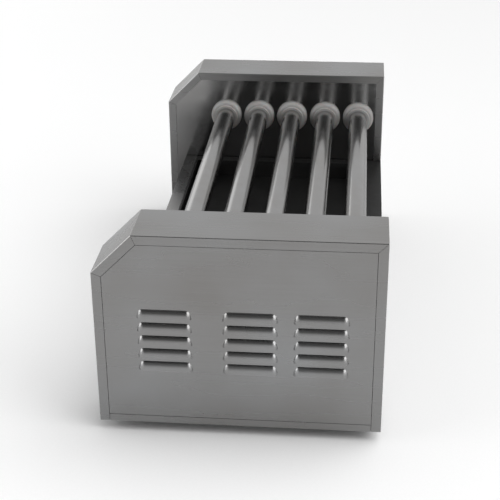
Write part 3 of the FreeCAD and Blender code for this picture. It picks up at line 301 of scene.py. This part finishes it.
LONG_SHEETS = ("front_panel", "rear_panel", "tray_front", "tray_handle", "base_pan")
LONG_STEEL = brushed_sheet("stainless_brushed_long", lengthwise=True)
SLOT_MATERIALS = {
    "stainless_brushed": brushed_sheet("stainless_brushed"),
    "stainless_mirror": polished_wall("stainless_mirror", 0.48),
    "roller_steel": turned_tube("roller_steel", 0.48, 0.13),
    "black_coating": coated_sheet("black_coating", 0.010, 0.38),
    "seal_white": seal_plastic("seal_white"),
    "zinc_steel": plated_steel("zinc_steel", 0.50, 0.02, 0.32),
    "chain_steel": plated_steel("chain_steel", 0.20, 0.04, 0.36),
    "element_sheath": plated_steel("element_sheath", 0.16, 0.07, 0.42),
    "brass": plated_steel("brass", 0.45, 0.30, 0.28),
    "ceramic_white": glazed("ceramic_white"),
    "black_plastic": moulded("black_plastic", (0.018, 0.018, 0.019), 0.38),
    "switch_red": moulded("switch_red", (0.42, 0.012, 0.010), 0.30),
    "lens_red": lens("lens_red", (0.55, 0.015, 0.010)),
    "foot_rubber": moulded("foot_rubber", (0.022, 0.021, 0.020), 0.62, 800.0, 0.10),
    "motor_grey": moulded("motor_grey", (0.10, 0.105, 0.11), 0.45),
}


for name, piece in nodes.items():
    for place in piece.material_slots:
        kind = place.material.name.split(".")[0]
        if kind == "stainless_brushed" and name in LONG_SHEETS:
            place.material = LONG_STEEL
        elif kind in SLOT_MATERIALS:
            place.material = SLOT_MATERIALS[kind]


# ---------------------------------------------------------------------------------------------------------
# Printed marks of the controls: a heat scale round each knob and a pointer line on its grip
# ---------------------------------------------------------------------------------------------------------

def clockwise(degrees, radius):
    """(x, z) of a point at an angle from straight up, as seen from the front."""
    around = math.radians(degrees)
    return radius * math.sin(around), radius * math.cos(around)


def steps(count):
    """Numbers from 0 to 1 in equal steps."""
    return [i / count for i in range(count + 1)]


def tick(degrees, inner, outer, width):
    """A straight tick that points to the middle, as a ribbon of two pairs of points."""
    side = clockwise(degrees + 90, width / 2)
    ends = [clockwise(degrees, radius) for radius in (inner, outer)]
    return [((x - side[0], z - side[1]), (x + side[0], z + side[1])) for x, z in ends]


def heat_band(start, end, radius, thin, thick):
    """An arc that grows thicker as the heat rises."""
    pairs = []
    for t in steps(40):
        turn = start + (end - start) * t
        pairs.append((clockwise(turn, radius), clockwise(turn, radius + thin + (thick - thin) * t)))
    return pairs


def pointer_line(inner, outer, width):
    """An upright line with round ends, blunted so that no pair of points meets."""
    blunt = 0.02 * MM
    pairs = []
    for t in steps(16):
        height = inner + (outer - inner) * (1 - math.cos(math.pi * t)) / 2
        reach = min(height - inner, outer - height, width / 2)
        half = math.sqrt(max(width * reach - reach ** 2, 0.0)) + blunt
        pairs.append(((-half, height), (half, height)))
    return pairs


def raised_print(name, ribbons, centre, face, body, slot):
    """Ribbons of ink that stand off a front face, as one piece that rides on a body."""
    ink = 0.12 * MM
    points, faces = [], []
    for ribbon in ribbons:
        first = len(points)
        for pair in ribbon:
            points += [(centre[0] + x, y, centre[2] + z) for y in (face - ink, face) for x, z in pair]
        last = len(points) - 4
        for k in range(first, last, 4):
            faces += [(k + a, k + b, k + 4 + b, k + 4 + a) for a, b in ((0, 1), (1, 3), (3, 2), (2, 0))]
        faces += [(first, first + 2, first + 3, first + 1), (last, last + 1, last + 3, last + 2)]
    mesh = bpy.data.meshes.new(name)
    mesh.from_pydata(points, [], faces)
    mesh.materials.append(SLOT_MATERIALS[slot])
    piece = bpy.data.objects.new(name, mesh)
    bpy.context.scene.collection.objects.link(piece)
    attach(piece, body)


LOW_HEAT, FULL_TURN, TICK_STEP = 20, 270, 45
BAND_RADIUS, TICK_RADIUS, SCALE_RADIUS = 16.3 * MM, 18.9 * MM, 20.2 * MM

dial_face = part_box("dial_plates")[0][1]
scale = [tick(0, BAND_RADIUS, SCALE_RADIUS, width=1.6 * MM),
         heat_band(LOW_HEAT, FULL_TURN, BAND_RADIUS, thin=0.3 * MM, thick=1.9 * MM)]
for turn in range(TICK_STEP, FULL_TURN + 1, TICK_STEP):
    scale.append(tick(turn, TICK_RADIUS, SCALE_RADIUS, width=0.5 * MM))
pointer = [pointer_line(inner=3.5 * MM, outer=10.8 * MM, width=1.3 * MM)]
for side in ("left", "right"):
    knob_low, knob_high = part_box(side + "_knob")
    centre = [(a + b) / 2 for a, b in zip(knob_low, knob_high)]
    raised_print(side + "_dial_scale", scale, centre, dial_face, "frame", "black_plastic")
    raised_print(side + "_knob_pointer", pointer, centre, knob_low[1], side + "_knob", "seal_white")


# ---------------------------------------------------------------------------------------------------------
# Floor, lights and camera
# ---------------------------------------------------------------------------------------------------------

low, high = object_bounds()
SIZE = (high - low).length
MIDDLE = (low + high) / 2


def make_floor(mirrored_tone, painted_shade_tone):
    """A plain pale floor far larger than the view; steel mirrors it in a painted deeper tone, with painted
    shade deepest beside the base.
    """
    half = 12 * SIZE
    mesh = bpy.data.meshes.new("floor")
    corners = [(-half, -half, low.z), (half, -half, low.z), (half, half, low.z), (-half, half, low.z)]
    mesh.from_pydata(corners, [], [(0, 1, 2, 3)])
    floor = bpy.data.objects.new("floor", mesh)
    bpy.context.scene.collection.objects.link(floor)
    made = Material("floor_paper")
    fibres = made.noise(400.0, detail=3.0)
    paper = made.blend(made.spread(fibres, 0.3, 0.7), grey(0.93), grey(0.95))
    point = made.node("SeparateXYZ", Vector=made.place())
    along, across = (made.maths("ABSOLUTE", point.outputs[axis]) for axis in "XY")
    # Painted shade in what the steel mirrors of the floor, fading out past the base's ends and sides.
    past_ends, past_sides = (0.24, 0.31), (0.15, 0.24)
    painted_shade_mask = made.maths("MULTIPLY", made.spread(along, *past_ends, 1.0, 0.0),
                       made.spread(across, *past_sides, 1.0, 0.0))
    mirrored = made.blend(painted_shade_mask, grey(mirrored_tone), grey(painted_shade_tone))
    seen = made.node("LightPath").outputs["Is Camera Ray"]
    made.surface(Base_Color=made.blend(seen, mirrored, paper), Roughness=0.9, Specular_IOR_Level=0.1)
    mesh.materials.append(made.data)


def make_world(bright, dark, dark_way, edge_degrees, full_degrees):
    """A pale surround with one dark patch, which fades in between two angles from its middle."""
    world = bpy.data.worlds.new("studio")
    bpy.context.scene.world = world
    world.use_nodes = True
    tree = world.node_tree
    way = tree.nodes.new("ShaderNodeTexCoord")
    likeness = tree.nodes.new("ShaderNodeVectorMath")
    likeness.operation = "DOT_PRODUCT"
    likeness.inputs[1].default_value = Vector(dark_way).normalized()
    fade = tree.nodes.new("ShaderNodeMapRange")
    fade.interpolation_type = "SMOOTHSTEP"
    tree.links.new(way.outputs["Generated"], likeness.inputs[0])
    tree.links.new(likeness.outputs["Value"], fade.inputs["Value"])
    edge, full = (math.cos(math.radians(degrees)) for degrees in (edge_degrees, full_degrees))
    for key, number in (("From Min", edge), ("From Max", full), ("To Min", bright), ("To Max", dark)):
        fade.inputs[key].default_value = number
    backdrop = tree.nodes["Background"]
    backdrop.inputs["Color"].default_value = (1, 1, 1, 1)
    tree.links.new(fade.outputs[0], backdrop.inputs["Strength"])


def softbox(name, place, target, width, height, watts):
    """A rectangular studio light at a place, turned to a target and hidden from the camera."""
    light = bpy.data.lights.new(name, "AREA")
    light.shape = "RECTANGLE"
    light.size = width
    light.size_y = height
    light.energy = watts
    lamp = bpy.data.objects.new(name, light)
    lamp.location = place
    lamp.rotation_mode = "QUATERNION"
    lamp.rotation_quaternion = (Vector(target) - Vector(place)).to_track_quat("-Z", "Y")
    lamp.visible_camera = False
    bpy.context.scene.collection.objects.link(lamp)


def sky_fill(strength, tilt, spread):
    """Soft light from above and behind for everything matt; polished steel doesn't mirror it."""
    light = bpy.data.lights.new("sky_fill", "SUN")
    light.energy = strength
    light.angle = math.radians(spread)
    lamp = bpy.data.objects.new("sky_fill", light)
    lamp.rotation_euler.x = -math.radians(tilt)
    lamp.visible_glossy = False
    bpy.context.scene.collection.objects.link(lamp)


def make_camera(azimuth, elevation, roll, distance, target, lens_mm):
    """A camera at an azimuth and elevation round a target; azimuth 90 looks along -X."""
    around = math.radians(azimuth)
    above = math.radians(elevation)
    back = Vector((math.sin(around) * math.cos(above), -math.cos(around) * math.cos(above), math.sin(above)))
    data = bpy.data.cameras.new("camera")
    data.lens = lens_mm
    data.sensor_width = 36.0
    data.clip_start = 0.05
    data.clip_end = 60.0
    camera = bpy.data.objects.new("camera", data)
    camera.location = Vector(target) + back * distance
    camera.rotation_mode = "QUATERNION"
    level = (-back).to_track_quat("-Z", "Y")
    camera.rotation_quaternion = Quaternion(-back, math.radians(roll)) @ level
    bpy.context.scene.collection.objects.link(camera)
    bpy.context.scene.camera = camera


# The floor as the steel mirrors it: a painted deeper tone, and painted shade beside the base.
make_floor(mirrored_tone=0.48, painted_shade_tone=0.16)
make_world(bright=0.57, dark=0.04, dark_way=(0.64, 0.0, 0.77), edge_degrees=50, full_degrees=28)
sky_fill(strength=1.9, tilt=30, spread=70)
softbox("corner_light", (-2.0, -1.3, 0.42), MIDDLE, width=1.6, height=0.8, watts=1.6)
softbox("left_light", (0.3, -2.0, 0.9), MIDDLE, width=2.4, height=1.4, watts=13)
softbox("right_light", (0.8, 1.6, 0.9), MIDDLE, width=1.8, height=1.2, watts=9)
make_camera(azimuth=95.27, elevation=25.78, roll=0.39, distance=1.5195,
            target=(0.0170, -0.0133, 0.0833), lens_mm=87.54)
bpy.context.scene.view_settings.view_transform = "Standard"
